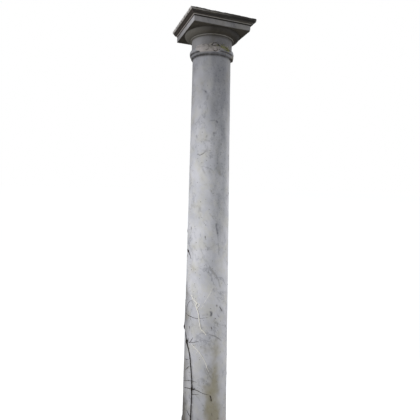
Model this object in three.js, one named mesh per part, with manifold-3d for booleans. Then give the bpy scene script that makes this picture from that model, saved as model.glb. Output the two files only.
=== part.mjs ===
// A smooth marble column of the plain Doric kind, without flutes, that has stood out of doors for long.
// Four pieces: a base of plinth and torus, a one-piece tapering shaft that ends in an astragal,
// a capital of neck, annulet, echinus and moulded square abacus, and the stem of a dead climber.
// Millimetres, +Z up. The origin is the middle of the plinth's underside, and -Y is the front.

import * as THREE from "three";
import { mergeVertices } from "three/addons/utils/BufferGeometryUtils.js";
import Module from "manifold-3d";

const wasm = await Module();
wasm.setup();

// Base: a square plinth and a torus, cut from one block
const plinthSide = 376;
const plinthHeight = 68;
const torusHeight = 56;
const torusSetback = 2; // the torus stays this far inside the plinth's faces

// Open bed joints between the stones
const bedJoint = 0.3;

// Shaft: a plain cone between its two ends
const shaftHeight = 2246; // from the lower bed to the astragal
const shaftFootRadius = 136;
const shaftTopRadius = 110;
const cinctureHeight = 13;
const cinctureProjection = 13;
const footSweepHeight = 42; // the hollow curve from the cincture into the shaft
const topSweepHeight = 12; // the hollow curve from the shaft out to the astragal's fillet
const filletHeight = 8;
const filletProjection = 8.5;
const beadHeight = 36;
const beadProjection = 11.5; // beyond the neck

// Capital: round parts
const neckProjection = 6; // beyond the shaft's top radius
const neckHeight = 48;
const neckSweepHeight = 7;
const neckSweepProjection = 4;
const annuletHeight = 7;
const annuletProjection = 8.5; // beyond the neck
const echinusHeight = 26;
const echinusProjection = 33.5; // beyond the annulet

// Capital: square abacus
const abacusReveal = 6; // from the echinus to the faces of the abacus
const fasciaHeight = 27.4;
const reedHeight = 8; // the small flat fillet above the fascia
const reedProjection = 4;
const ogeeHeight = 10;
const ogeeProjection = 18;
const crownHeight = 14.6; // the flat fillet that crowns the abacus
const crownProjection = 6; // beyond the ogee
const crownArris = 1.5; // wear along the top edge

// Breaks at the crown's corners: which corner, how far the break runs along each side, and its lean
const crownBreaks = [
  { side: [-1, 1], leg: 30, lean: 8 },
  { side: [1, -1], leg: 5, lean: 12 },
  { side: [1, 1], leg: 8, lean: 10 },
  { side: [-1, -1], leg: 3, lean: 10 },
];
const breakBlock = 60; // size of the block that cuts a break

// Stem of the dead climber, lying on the shaft
const stemDiameter = 7;
const stemClearance = 0.6;
const stemSides = 8;
const stemSteps = 44;
// Its route: height above the shaft's lower bed, and bearing in degrees from the front, seen from above
const stemRoute = [
  [88, -56],
  [165, -55],
  [252, -54],
  [311, -53],
  [352, -53.5],
  [445, -57.5],
  [505, -62],
  [543, -66.5],
  [574, -73],
  [614, -81],
  [645, -86],
];

// Fineness of the round forms
const aroundSteps = 80;
const bigArcSteps = 10;
const smallArcSteps = 5;

// Levels of the joints and heights
const baseTop = plinthHeight + torusHeight;
const shaftBottom = baseTop + bedJoint;
const astragalBottom = shaftBottom + shaftHeight;
const shaftBed = astragalBottom + filletHeight + beadHeight;
const capitalBottom = shaftBed + bedJoint;
const shaftTaper = (shaftFootRadius - shaftTopRadius) / shaftHeight;

const shaftRadiusAt = (z) => shaftFootRadius - shaftTaper * (z - shaftBottom);

// Points of an elliptical arc in the profile's plane, angles in degrees from the outward direction
function arc(centreRadius, centreZ, radialHalf, verticalHalf, from, to, steps) {
  const curve = new THREE.EllipseCurve(
    centreRadius,
    centreZ,
    radialHalf,
    verticalHalf,
    THREE.MathUtils.degToRad(from),
    THREE.MathUtils.degToRad(to),
    to < from,
  );
  return curve.getPoints(steps).map((p) => [p.x, p.y]);
}

// A solid of revolution from [radius, z] points that start and end on the axis
function turned(profile) {
  const points = profile.map(([radius, z]) => new THREE.Vector2(radius, z));
  return new THREE.LatheGeometry(points, aroundSteps).rotateX(Math.PI / 2);
}

// The same profile run round a square with mitred corners, from [half side, z] points
function mitred(profile) {
  const points = profile.map(([half, z]) => new THREE.Vector2(half * Math.SQRT2, z));
  return new THREE.LatheGeometry(points, 4, Math.PI / 4).rotateX(Math.PI / 2);
}

// A closed mesh as a solid that can be joined and cut
function toSolid(geometry) {
  const bare = geometry.clone();
  bare.deleteAttribute("normal");
  bare.deleteAttribute("uv");
  const merged = mergeVertices(bare, 1e-4);
  const corners = merged.index.array;
  const triangles = [];
  for (let i = 0; i < corners.length; i += 3) {
    const [a, b, c] = [corners[i], corners[i + 1], corners[i + 2]];
    if (a !== b && b !== c && c !== a) triangles.push(a, b, c);
  }
  return new wasm.Manifold(
    new wasm.Mesh({
      numProp: 3,
      vertProperties: new Float32Array(merged.attributes.position.array),
      triVerts: new Uint32Array(triangles),
    }),
  );
}

function toGeometry(solid) {
  const mesh = solid.getMesh();
  const geometry = new THREE.BufferGeometry();
  geometry.setAttribute("position", new THREE.Float32BufferAttribute(mesh.vertProperties, 3));
  geometry.setIndex(Array.from(mesh.triVerts));
  geometry.computeVertexNormals();
  return geometry;
}

// Base: the torus is a half round that stands on the plinth
function baseGeometry() {
  const plinth = new THREE.BoxGeometry(plinthSide, plinthSide, plinthHeight);
  plinth.translate(0, 0, plinthHeight / 2);
  const half = torusHeight / 2;
  const centreRadius = plinthSide / 2 - torusSetback - half;
  const torus = turned([
    [0, plinthHeight - half],
    [centreRadius, plinthHeight - half],
    ...arc(centreRadius, plinthHeight + half, half, half, -90, 90, bigArcSteps),
    [0, baseTop],
  ]);
  return toGeometry(toSolid(plinth).add(toSolid(torus)));
}

// Shaft: cincture, hollow sweep, straight taper, hollow sweep, fillet and half-round bead
function shaftGeometry() {
  const cinctureTop = shaftBottom + cinctureHeight;
  const footSweepTop = cinctureTop + footSweepHeight;
  const footRadius = shaftRadiusAt(footSweepTop);
  const cinctureRadius = shaftRadiusAt(shaftBottom) + cinctureProjection;
  const footSpread = cinctureRadius - footRadius;
  const topSweepBottom = astragalBottom - topSweepHeight;
  const topRadius = shaftRadiusAt(topSweepBottom);
  const topSpread = shaftTopRadius + filletProjection - topRadius;
  const neckRadius = shaftTopRadius + neckProjection;
  const filletRadius = shaftTopRadius + filletProjection;
  const filletTop = astragalBottom + filletHeight;
  return turned([
    [0, shaftBottom],
    [cinctureRadius, shaftBottom],
    [cinctureRadius, cinctureTop],
    ...arc(cinctureRadius, footSweepTop, footSpread, footSweepHeight, 270, 180, smallArcSteps).slice(1),
    ...arc(topRadius + topSpread, topSweepBottom, topSpread, topSweepHeight, 180, 90, smallArcSteps),
    [filletRadius, filletTop],
    ...arc(neckRadius, filletTop + beadHeight / 2, beadProjection, beadHeight / 2, -90, 90, bigArcSteps),
    [0, shaftBed],
  ]);
}

// Capital, round parts: they run up inside the abacus, to be joined with it
function echinusGeometry() {
  const neckRadius = shaftTopRadius + neckProjection;
  const sweepBottom = capitalBottom + neckHeight;
  const annuletBottom = sweepBottom + neckSweepHeight;
  const annuletTop = annuletBottom + annuletHeight;
  const annuletRadius = neckRadius + annuletProjection;
  const sweepRadius = neckRadius + neckSweepProjection;
  const echinusTop = annuletTop + echinusHeight;
  const echinusRadius = annuletRadius + echinusProjection;
  return turned([
    [0, capitalBottom],
    [neckRadius, capitalBottom],
    ...arc(sweepRadius, sweepBottom, neckSweepProjection, neckSweepHeight, 180, 90, smallArcSteps),
    [annuletRadius, annuletBottom],
    [annuletRadius, annuletTop],
    ...arc(annuletRadius, echinusTop, echinusProjection, echinusHeight, -90, 0, bigArcSteps).slice(1),
    [echinusRadius, echinusTop + fasciaHeight / 2],
    [0, echinusTop + fasciaHeight / 2],
  ]);
}

// Where the abacus begins, and its half sides from the fascia out to the crown
const soffitZ = capitalBottom + neckHeight + neckSweepHeight + annuletHeight + echinusHeight;
const fasciaHalf = shaftTopRadius + neckProjection + annuletProjection + echinusProjection + abacusReveal;
const reedHalf = fasciaHalf + reedProjection;
const ogeeHalf = reedHalf + ogeeProjection;
const crownHalf = ogeeHalf + crownProjection;
const crownBottom = soffitZ + fasciaHeight + reedHeight + ogeeHeight;
const abacusTop = crownBottom + crownHeight;

// Capital, square part: fascia, small fillet, ogee and crowning fillet
function abacusGeometry() {
  const fasciaTop = soffitZ + fasciaHeight;
  const reedTop = fasciaTop + reedHeight;
  const middleHalf = reedHalf + ogeeProjection / 2;
  const middleZ = reedTop + ogeeHeight / 2;
  return mitred([
    [0, soffitZ],
    [fasciaHalf, soffitZ],
    [fasciaHalf, fasciaTop],
    [reedHalf, fasciaTop],
    [reedHalf, reedTop],
    ...arc(reedHalf, middleZ, ogeeProjection / 2, ogeeHeight / 2, -90, 0, smallArcSteps).slice(1),
    ...arc(ogeeHalf, middleZ, middleHalf - reedHalf, ogeeHeight / 2, 180, 90, smallArcSteps).slice(1),
    [crownHalf, crownBottom],
    [crownHalf, abacusTop - crownArris],
    [crownHalf - crownArris, abacusTop],
    [0, abacusTop],
  ]);
}

// A block across one corner of the crown, leaning so that the break fades towards its foot
function breakGeometry({ side, leg, lean }) {
  const block = new THREE.BoxGeometry(breakBlock, 2 * breakBlock, 2 * breakBlock);
  block.translate(breakBlock / 2, 0, 0);
  block.rotateY(THREE.MathUtils.degToRad(lean));
  block.rotateZ(Math.atan2(side[1], side[0]));
  const reach = crownHalf - leg / 2;
  return block.translate(side[0] * reach, side[1] * reach, abacusTop);
}

function capitalGeometry() {
  let capital = toSolid(echinusGeometry()).add(toSolid(abacusGeometry()));
  for (const corner of crownBreaks) {
    capital = capital.subtract(toSolid(breakGeometry(corner)));
  }
  return toGeometry(capital);
}

// Stem: its route is smoothed on the shaft's unrolled face, then laid against the shaft
function stemGeometry() {
  const unrolled = new THREE.CatmullRomCurve3(stemRoute.map(([height, bearing]) => new THREE.Vector3(bearing, height, 0)));
  const laid = unrolled.getSpacedPoints(stemSteps).map((p) => {
    const z = shaftBottom + p.y;
    const reach = shaftRadiusAt(z) + stemDiameter / 2 + stemClearance;
    const bearing = THREE.MathUtils.degToRad(p.x);
    return new THREE.Vector3(reach * Math.sin(bearing), -reach * Math.cos(bearing), z);
  });
  const section = new THREE.Shape();
  for (let i = 0; i < stemSides; i += 1) {
    const angle = (2 * Math.PI * i) / stemSides;
    const x = (stemDiameter / 2) * Math.cos(angle);
    const y = (stemDiameter / 2) * Math.sin(angle);
    if (i === 0) section.moveTo(x, y);
    else section.lineTo(x, y);
  }
  const path = new THREE.CatmullRomCurve3(laid);
  return new THREE.ExtrudeGeometry(section, { steps: stemSteps, extrudePath: path, bevelEnabled: false });
}

// Finishes
const marble = (color, roughness) => new THREE.MeshStandardMaterial({ color, roughness, metalness: 0 });
const pieces = [
  ["base", baseGeometry(), marble(0x9c9a95, 0.8)],
  ["shaft", shaftGeometry(), marble(0xb6b5b6, 0.65)],
  ["capital", capitalGeometry(), marble(0x8f8c87, 0.8)],
  ["climber_stem", stemGeometry(), new THREE.MeshStandardMaterial({ color: 0x4a3a2f, roughness: 0.9, metalness: 0 })],
];

const column = new THREE.Group();
for (const [name, geometry, material] of pieces) {
  const mesh = new THREE.Mesh(geometry, material);
  mesh.name = name;
  column.add(mesh);
}

export default column;
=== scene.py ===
# %% [markdown]
# # A weathered marble column
# The column is three carved stones that rest on each other: a base of plinth and torus, a smooth tapering
# shaft, and a capital with a square abacus. A dead climber still clings to the shaft, and lime crust,
# lichen and moss grow under the capital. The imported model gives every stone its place, and this lesson
# gives them their looks.

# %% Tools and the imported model
import math
import random

import bmesh
import bpy
import numpy as np
from mathutils import Matrix, Vector, noise


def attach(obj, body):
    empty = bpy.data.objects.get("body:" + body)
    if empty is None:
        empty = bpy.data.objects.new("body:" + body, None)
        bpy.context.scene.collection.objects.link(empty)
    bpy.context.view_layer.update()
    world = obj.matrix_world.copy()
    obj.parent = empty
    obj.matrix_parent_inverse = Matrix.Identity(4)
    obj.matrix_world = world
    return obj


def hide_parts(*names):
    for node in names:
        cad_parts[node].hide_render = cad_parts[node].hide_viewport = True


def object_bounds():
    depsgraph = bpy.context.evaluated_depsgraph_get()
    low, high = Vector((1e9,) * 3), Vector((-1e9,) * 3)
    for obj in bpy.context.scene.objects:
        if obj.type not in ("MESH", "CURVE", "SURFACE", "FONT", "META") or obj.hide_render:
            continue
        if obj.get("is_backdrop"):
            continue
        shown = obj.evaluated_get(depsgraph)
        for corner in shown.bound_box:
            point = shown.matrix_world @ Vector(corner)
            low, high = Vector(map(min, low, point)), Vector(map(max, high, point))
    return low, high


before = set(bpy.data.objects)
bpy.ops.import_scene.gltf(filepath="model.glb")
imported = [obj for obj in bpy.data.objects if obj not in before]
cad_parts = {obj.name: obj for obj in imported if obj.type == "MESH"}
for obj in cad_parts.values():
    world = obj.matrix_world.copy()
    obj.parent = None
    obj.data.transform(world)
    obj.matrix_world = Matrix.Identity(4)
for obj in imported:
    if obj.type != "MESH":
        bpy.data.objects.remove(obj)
cad_low, cad_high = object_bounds()
print("CAD box", [round(v, 4) for v in cad_low], [round(v, 4) for v in cad_high])

# %% [markdown]
# ## The camera
# The photograph was taken from the front left, a little below mid height, with a short lens. The camera
# below was solved from the edges of the stones, so the stones fall where the photograph shows them.

# %% Camera
MM = 0.001
IMAGE_SIDE = 420  # pixels, square
FOCAL_PIXELS = 370
SENSOR = 36.0  # mm
CAMERA_DISTANCE, CAMERA_HEIGHT = 2203.1, 1634.7  # mm from the axis, and above the ground
CAMERA_BEARING = -0.3629  # radians round the axis from the front
CAMERA_TURN, CAMERA_PITCH, CAMERA_ROLL = 0.0042, -0.0616, 0.0212  # radians

camera_data = bpy.data.cameras.new("camera")
camera_data.sensor_width = SENSOR
camera_data.lens = FOCAL_PIXELS / IMAGE_SIDE * SENSOR
camera = bpy.data.objects.new("camera", camera_data)
bpy.context.scene.collection.objects.link(camera)
spot = Vector((math.sin(CAMERA_BEARING), -math.cos(CAMERA_BEARING), 0)) * (CAMERA_DISTANCE * MM)
spot.z = CAMERA_HEIGHT * MM
turn = Matrix.Rotation(CAMERA_BEARING - CAMERA_TURN, 4, "Z")
tip = Matrix.Rotation(math.radians(90) + CAMERA_PITCH, 4, "X")
roll = Matrix.Rotation(CAMERA_ROLL, 4, "Z")
camera.matrix_world = Matrix.Translation(spot) @ turn @ tip @ roll
bpy.context.scene.camera = camera
bpy.context.scene.view_settings.view_transform = "Standard"
print("camera at", [round(v, 3) for v in spot])

# %% [markdown]
# ## Colours and nodes
# Colours are noted as they look on a screen (sRGB), and a shader counts in linear light, so one function
# turns them. Another adds a node with its settings and links, and every material below is made with it.
# Its inputs go by the names of the sockets, or in a list by their order, such as value, from, from, to, to
# for a map range.

# %% Helpers for materials


def linear(hex_colour):
    """Turns an sRGB hex colour into the linear red, green, blue and alpha that shaders use."""
    parts = [int(hex_colour[i:i + 2], 16) / 255 for i in (1, 3, 5)]
    return [p / 12.92 if p <= 0.04045 else ((p + 0.055) / 1.055) ** 2.4 for p in parts] + [1.0]


def add(tree, kind, inputs=(), stops=(), **settings):
    """Adds one node, sets its properties and a ramp's stops, and fills or links its sockets.

    A node as an input stands for its first output, and a hex string for its colour.
    """
    node = tree.nodes.new(kind)
    for name, value in settings.items():
        setattr(node, name, value)
    for _ in stops[2:]:
        node.color_ramp.elements.new(1.0)
    for index, (position, colour) in enumerate(stops):
        node.color_ramp.elements[index].position = position
        node.color_ramp.elements[index].color = linear(colour)
    for name, value in inputs.items() if isinstance(inputs, dict) else enumerate(inputs):
        if isinstance(value, bpy.types.Node):
            value = value.outputs[0]
        if isinstance(value, bpy.types.NodeSocket):
            tree.links.new(value, node.inputs[name])
        else:
            node.inputs[name].default_value = linear(value) if isinstance(value, str) else value
    return node


def new_material(name):
    """A material with an empty node tree."""
    material = bpy.data.materials.new(name)
    material.use_nodes = True
    material.node_tree.nodes.clear()
    return material, material.node_tree


def per_mm(place, size, **more):
    """The inputs of a texture at a place in metres, whose cells are about size mm wide."""
    return {"Vector": place, "Scale": 1000.0 / size, **more}


# %% [markdown]
# ## The stage
# A plain pale floor and soft light. The picture's light comes from the left at about mid height, with a
# weaker one from the right, so the shaft is brightest at the left, darkest right of the middle, and
# lighter again at its right edge.

# %% Floor and sky
FLOOR_SIDE = 400  # m
GLOW_NEAR, GLOW_FAR = 0.2, 0.46  # m from the axis, between which the floor grows lighter
SKY_STRENGTH = 0.51

floor_material, tree = new_material("pale_studio_floor")
path = add(tree, "ShaderNodeLightPath")
grain = add(tree, "ShaderNodeTexNoise", {"Scale": 2.0, "Detail": 2.0})
tint = add(tree, "ShaderNodeValToRGB", [grain], stops=[(0.3, "#f4f4f3"), (0.7, "#f8f8f8")])
matte = add(tree, "ShaderNodeBsdfDiffuse", {"Color": tint})
place = add(tree, "ShaderNodeTexCoord").outputs["Object"]
reach = add(tree, "ShaderNodeVectorMath", [place], operation="LENGTH").outputs["Value"]
strength = add(tree, "ShaderNodeMapRange", [reach, GLOW_NEAR, GLOW_FAR, 0.25, 0.6])
glow = add(tree, "ShaderNodeEmission", {"Color": "#ffffff", "Strength": strength})
bright = add(tree, "ShaderNodeAddShader", [matte, glow])
dull = add(tree, "ShaderNodeBsdfDiffuse", {"Color": "#9a978f"})
ground = add(tree, "ShaderNodeMixShader", [path, dull, bright])
add(tree, "ShaderNodeOutputMaterial", [ground])
bpy.ops.mesh.primitive_plane_add(size=FLOOR_SIDE, location=(0, 0, 0))
floor = bpy.context.object
floor.name = "floor"
floor.data.materials.append(floor_material)
floor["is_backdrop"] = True

world = bpy.data.worlds.new("soft_sky")
bpy.context.scene.world = world
world.use_nodes = True
world.node_tree.nodes.clear()
tree = world.node_tree
path = add(tree, "ShaderNodeLightPath")
lit = add(tree, "ShaderNodeBackground", {"Color": "#eef1f6", "Strength": SKY_STRENGTH})
seen = add(tree, "ShaderNodeBackground", {"Color": "#ffffff", "Strength": 1.0})
sky = add(tree, "ShaderNodeMixShader", [path, lit, seen])
add(tree, "ShaderNodeOutputWorld", [sky])
print("floor and sky ready")

# %% Lamps


def soft_lamp(name, bearing, distance, height, size, power, colour):
    """A large soft lamp round the column that looks at its axis at the lamp's own height."""
    data = bpy.data.lights.new(name, "AREA")
    data.shape = "RECTANGLE"
    data.size, data.size_y = size
    data.energy = power
    data.color = linear(colour)[:3]
    lamp = bpy.data.objects.new(name, data)
    angle = math.radians(bearing)
    lamp.location = (math.sin(angle) * distance, -math.cos(angle) * distance, height)
    lamp.rotation_euler = (math.radians(90), 0, angle)
    lamp.visible_camera = False
    bpy.context.scene.collection.objects.link(lamp)


# name, bearing in degrees, distance and height in m, width and height of the lamp in m, power in W, colour
soft_lamp("left_window", -69, 1.9, 1.38, (1.4, 1.2), 24, "#f6f6f9")
soft_lamp("right_window", 72, 2.2, 1.15, (1.0, 1.2), 25, "#f9f9fb")
print("stage ready")

# %% [markdown]
# ## Working by hand in code
# The stones are modelled as a mason turns and cuts them: a flat bed is drawn, raised lift by lift, and
# widened or narrowed at each lift. These helpers do what the hand does with the mouse: let go of
# everything, take one piece, close it up in edit mode, and raise a bed along a profile.

# %% Helpers for pieces


def deselect():
    """Lets go of every object."""
    bpy.ops.object.select_all(action="DESELECT")


def take(piece):
    """Makes one piece the selected and active object."""
    deselect()
    piece.select_set(True)
    bpy.context.view_layer.objects.active = piece


def close_up(piece):
    """Merges doubles and turns every face outwards."""
    take(piece)
    bpy.ops.object.mode_set(mode="EDIT")
    bpy.ops.mesh.select_all(action="SELECT")
    bpy.ops.mesh.remove_doubles(threshold=0.00002)
    bpy.ops.mesh.normals_make_consistent(inside=False)
    bpy.ops.object.mode_set(mode="OBJECT")


# %% Helpers for stones
LONG_LIFT = 0.4  # m


def raise_profile(profile):
    """Raises the selected bed along a profile of (half width, height) in mm, in edit mode."""
    for (half, height), (next_half, next_height) in zip(profile, profile[1:]):
        lift = (next_height - height) * MM
        bpy.ops.mesh.extrude_region_move(TRANSFORM_OT_translate={"value": (0, 0, lift)})
        if next_half != half:
            bpy.ops.transform.resize(value=(next_half / half, next_half / half, 1))


def raise_block(name, profile, cells, square=False, cuts=0):
    """Raises a stone from its flat bed along a profile, round with cells sides or square with cells a side.

    Edges longer than LONG_LIFT are cut across, so that the skin has points to move.
    """
    deselect()
    half, bed = profile[0]
    if square:
        bpy.ops.mesh.primitive_grid_add(
            x_subdivisions=cells, y_subdivisions=cells, size=2 * half * MM, location=(0, 0, bed * MM)
        )
    else:
        bpy.ops.mesh.primitive_circle_add(
            vertices=cells, radius=half * MM, fill_type="TRIFAN", location=(0, 0, bed * MM)
        )
    stone = bpy.context.object
    stone.name = name
    bpy.ops.object.mode_set(mode="EDIT")
    bpy.ops.mesh.select_all(action="SELECT")
    raise_profile(profile)
    if cuts:
        bpy.ops.mesh.select_all(action="DESELECT")
        bpy.ops.mesh.select_mode(type="EDGE")
        edit_mesh = bmesh.from_edit_mesh(stone.data)
        for edge in edit_mesh.edges:
            edge.select = edge.calc_length() > LONG_LIFT
        bmesh.update_edit_mesh(stone.data)
        bpy.ops.mesh.subdivide(number_cuts=cuts)
        bpy.ops.mesh.select_mode(type="VERT")
    bpy.ops.object.mode_set(mode="OBJECT")
    close_up(stone)
    bpy.ops.object.transform_apply()
    print(name, len(stone.data.vertices), "points")
    return stone


# %% [markdown]
# ## The shaft
# The real shaft was turned and rubbed smooth from one block, with a cincture and a small sweep at its
# foot, and an astragal (a fillet and a round bead) at its neck. A lathe spin would do, but a round bed
# raised lift by lift keeps the rings where a mason's templates put them, and closes the two beds at once.
# The long taper is raised in four lifts whose edges are then subdivided, so that the weathered skin has
# points to move.

# %% Shaft profile


def curl(centre_radius, centre_height, across, up, start, stop, steps):
    """Points of a quarter round in mm, angles in degrees from the horizontal."""
    points = []
    for i in range(steps + 1):
        angle = math.radians(start + (stop - start) * i / steps)
        points.append((centre_radius + across * math.cos(angle), centre_height + up * math.sin(angle)))
    return points


SHAFT_BED, SHAFT_TOP = 124.3, 2414.3  # mm above the ground
CINCTURE_TOP, FOOT_SWEEP_TOP = 137.3, 179.3
NECK_SWEEP, FILLET_FOOT, FILLET_TOP = 2358.3, 2370.3, 2378.3
FOOT_RADIUS, TOP_RADIUS = 136.0, 110.0
CINCTURE_RADIUS, FILLET_RADIUS, BEAD_CENTRE = 149.0, 118.5, 116.0
BEAD_ACROSS, BEAD_UP, BEAD_HEIGHT = 11.5, 18.0, 2396.3
LIFTS = 4


def taper(height):
    """Radius of the shaft's straight taper in mm."""
    return FOOT_RADIUS + (TOP_RADIUS - FOOT_RADIUS) * (height - SHAFT_BED) / (FILLET_FOOT - SHAFT_BED)


foot_reach = CINCTURE_RADIUS - taper(FOOT_SWEEP_TOP)
neck_reach = FILLET_RADIUS - taper(NECK_SWEEP)
foot = [(CINCTURE_RADIUS - 1.4, SHAFT_BED), (CINCTURE_RADIUS, SHAFT_BED + 1.4), (CINCTURE_RADIUS, 131.0)]
foot += [(CINCTURE_RADIUS - 0.3, CINCTURE_TOP - 1.0)]
foot_drop = CINCTURE_TOP - FOOT_SWEEP_TOP
foot += curl(CINCTURE_RADIUS - 1.0, FOOT_SWEEP_TOP, 1.0 - foot_reach, foot_drop, 90, 0, 12)
lift_heights = [FOOT_SWEEP_TOP + (NECK_SWEEP - FOOT_SWEEP_TOP) * i / LIFTS for i in range(1, LIFTS + 1)]
lifts = [(taper(h), h) for h in lift_heights]
neck = curl(FILLET_RADIUS, NECK_SWEEP, -neck_reach, FILLET_FOOT - NECK_SWEEP, 0, 90, 6)[1:]
neck += [(FILLET_RADIUS + 0.2, 2374.3), (FILLET_RADIUS - 0.3, FILLET_TOP)]
neck += [(BEAD_CENTRE + 0.4, FILLET_TOP + 0.1)]
bead = curl(BEAD_CENTRE, BEAD_HEIGHT, BEAD_ACROSS, BEAD_UP, -88, 88, 22)
shaft_profile = foot + lifts + neck + bead


def radius_at(height):
    """Radius of the shaft or the capital's neck at a height, in mm, to set small things on."""
    if height > SHAFT_TOP:
        return BEAD_CENTRE
    for (r0, z0), (r1, z1) in zip(shaft_profile, shaft_profile[1:]):
        if z0 <= height <= z1 and z1 > z0:
            return r0 + (r1 - r0) * (height - z0) / (z1 - z0)
    return shaft_profile[-1][0]


print("shaft profile", len(shaft_profile), "rings")

# %% Raise the shaft
shaft = raise_block("shaft_stone", shaft_profile, 192, cuts=95)

# %% [markdown]
# ### Wear on the shaft
# Long rain leaves a smooth shaft slightly wavy, pitted and rounded at its arrises. Displace modifiers with
# procedural clouds do that, held off the two beds by a vertex group, so the stones still meet flat.

# %% Helpers for wear


def modify(piece, kind, **settings):
    """Adds a modifier with its settings and applies it."""
    take(piece)
    modifier = piece.modifiers.new(kind.lower(), kind)
    for name, value in settings.items():
        setattr(modifier, name, value)
    bpy.ops.object.modifier_apply(modifier=modifier.name)


def roughen(piece, name, size, depth, middle=0.5, **more):
    """Moves the skin by depth mm with soft clouds of size mm. The cloud's middle value stays where it is."""
    texture = bpy.data.textures.new(name, "CLOUDS")
    texture.noise_scale = size * MM
    texture.noise_depth = 3
    modify(piece, "DISPLACE", texture=texture, strength=depth * MM, mid_level=middle, **more)


def weigh(piece, name, rule):
    """A vertex group whose weights come from a rule of the point in mm."""
    group = piece.vertex_groups.new(name=name)
    for vertex in piece.data.vertices:
        weight = rule(vertex.co / MM)
        if weight > 0.001:
            group.add([vertex.index], min(weight, 1.0), "REPLACE")
    return group.name


def ease(value, low, high):
    """A smooth step from 0 at low to 1 at high."""
    t = min(max((value - low) / (high - low), 0.0), 1.0)
    return t * t * (3 - 2 * t)


def ridge(value, middle, width):
    """1 at the middle, fading to nothing on both sides over about twice the width."""
    return math.exp(-((value - middle) / width) ** 2)


def settle(piece, angle):
    """Puts the piece's place into its mesh and shades it smooth up to an angle."""
    take(piece)
    bpy.ops.object.transform_apply()
    bpy.ops.object.shade_smooth_by_angle(angle=math.radians(angle))
    print(piece.name, len(piece.data.vertices), "points")


# %% Weather the shaft


def shaft_skin(p):
    """Full weight on the skin, none on the beds."""
    return ease(p.z, SHAFT_BED + 0.5, SHAFT_BED + 6) * (1 - ease(p.z, SHAFT_TOP - 6, SHAFT_TOP - 0.5))


def shaft_arris(p):
    """Weight on the cincture's edge and on the bead, where knocks land, in patches."""
    low_edge = ridge(p.z, CINCTURE_TOP - 1.3, 4.5) + ridge(p.z, SHAFT_BED + 2, 2.5)
    high_edge = ridge(p.z, BEAD_HEIGHT, 10.0) * 0.7
    return (low_edge + high_edge) * ease(noise.noise(p / 34.0), 0.05, 0.5)


skin_group = weigh(shaft, "skin", shaft_skin)
arris_group = weigh(shaft, "arris", shaft_arris)
roughen(shaft, "shaft_waves", 140, 1.6, vertex_group=skin_group)
roughen(shaft, "shaft_pits", 16, 0.9, vertex_group=skin_group)
roughen(shaft, "shaft_knocks", 22, -7, 0.25, vertex_group=arris_group)
settle(shaft, 40)

# %% [markdown]
# ## Carved damage
# Chips and broken corners are cut the way they happen, by taking lumps off. A small sphere, flattened and
# roughened, is the lump, and a Boolean difference takes many at once, so each break has a rough face.

# %% Chips


def join(parts, name):
    """Joins the parts in one named mesh."""
    take(parts[0])
    for part in parts:
        part.select_set(True)
    bpy.ops.object.join()
    whole = bpy.context.object
    whole.name = name
    return whole


def combine(piece, other, operation, **more):
    """Unites the piece with another mesh, or cuts that off it, and deletes the other."""
    modify(piece, "BOOLEAN", operation=operation, object=other, solver="EXACT", **more)
    bpy.data.objects.remove(other, do_unlink=True)


def chip_away(piece, name, places, seed):
    """Cuts rough lumps off the piece at the places, each (x, y, z, size) in mm."""
    draw = random.Random(seed)
    lumps = []
    for x, y, z, size in places:
        deselect()
        middle = (x * MM, y * MM, z * MM)
        bpy.ops.mesh.primitive_ico_sphere_add(subdivisions=3, radius=size * MM, location=middle)
        lump = bpy.context.object
        lump.scale = [draw.uniform(0.7, 1.25) for _ in range(3)]
        lump.rotation_euler = [draw.uniform(0, math.pi) for _ in range(3)]
        bpy.ops.object.transform_apply()
        lumps.append(lump)
    cutter = join(lumps, name)
    roughen(cutter, name + "_rough", 9, 5)
    combine(piece, cutter, "DIFFERENCE", use_self=True)


# %% [markdown]
# ## The capital
# One block: a neck with a thin annulet, a quarter round echinus, and a square abacus with a plain fascia,
# a small reed, an ogee and a crowning fillet. The square part is a grid raised and widened, the round part
# a circle raised the same way, and a Boolean union makes them one stone. The left corner of the crown is
# broken off.

# %% Abacus
SOFFIT, FASCIA_TOP, REED_TOP, OGEE_TOP, CROWN_TOP = 2502.6, 2532.6, 2539.8, 2548.8, 2562.6
FASCIA_HALF, QUIRK_HALF, REED_HALF, OGEE_HALF, CROWN_HALF = 164.0, 162.4, 168.0, 186.0, 192.0
ogee_middle, ogee_rise = (REED_TOP + OGEE_TOP) / 2, (OGEE_TOP - REED_TOP) / 2
ogee_reach = (OGEE_HALF - REED_HALF) / 2
abacus_profile = [(FASCIA_HALF - 1.0, SOFFIT), (FASCIA_HALF, SOFFIT + 1.0)]
abacus_profile += [(FASCIA_HALF, SOFFIT + 1.0 + 4.8 * i) for i in range(1, 6)]
abacus_profile += [(FASCIA_HALF, FASCIA_TOP - 1.8), (QUIRK_HALF, FASCIA_TOP - 1.4)]
abacus_profile += [(QUIRK_HALF, FASCIA_TOP + 1.0), (REED_HALF - 0.8, FASCIA_TOP + 1.3)]
abacus_profile += [(REED_HALF, FASCIA_TOP + 2.6), (REED_HALF, REED_TOP - 1.0)]
abacus_profile += curl(REED_HALF, ogee_middle, ogee_reach, ogee_rise, -90, 0, 4)[1:]
abacus_profile += curl(OGEE_HALF, ogee_middle, -ogee_reach, ogee_rise, 0, 90, 4)[1:]
abacus_profile += [(CROWN_HALF - 0.6, OGEE_TOP + 0.2)]
abacus_profile += [(CROWN_HALF, OGEE_TOP + rise) for rise in (1.2, 4.5, 8.0, 11.0)]
abacus_profile += [(CROWN_HALF, CROWN_TOP - 1.5), (CROWN_HALF - 1.5, CROWN_TOP)]
capital = raise_block("capital_stone", abacus_profile, 96, square=True)


def to_corner(p):
    """How near a point's bearing is to a diagonal of the square: 1 on it, 0 in the middle of a side."""
    return ease(min(abs(p.x), abs(p.y)) / max(abs(p.x), abs(p.y), 1.0), 0.965, 1.0)


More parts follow.
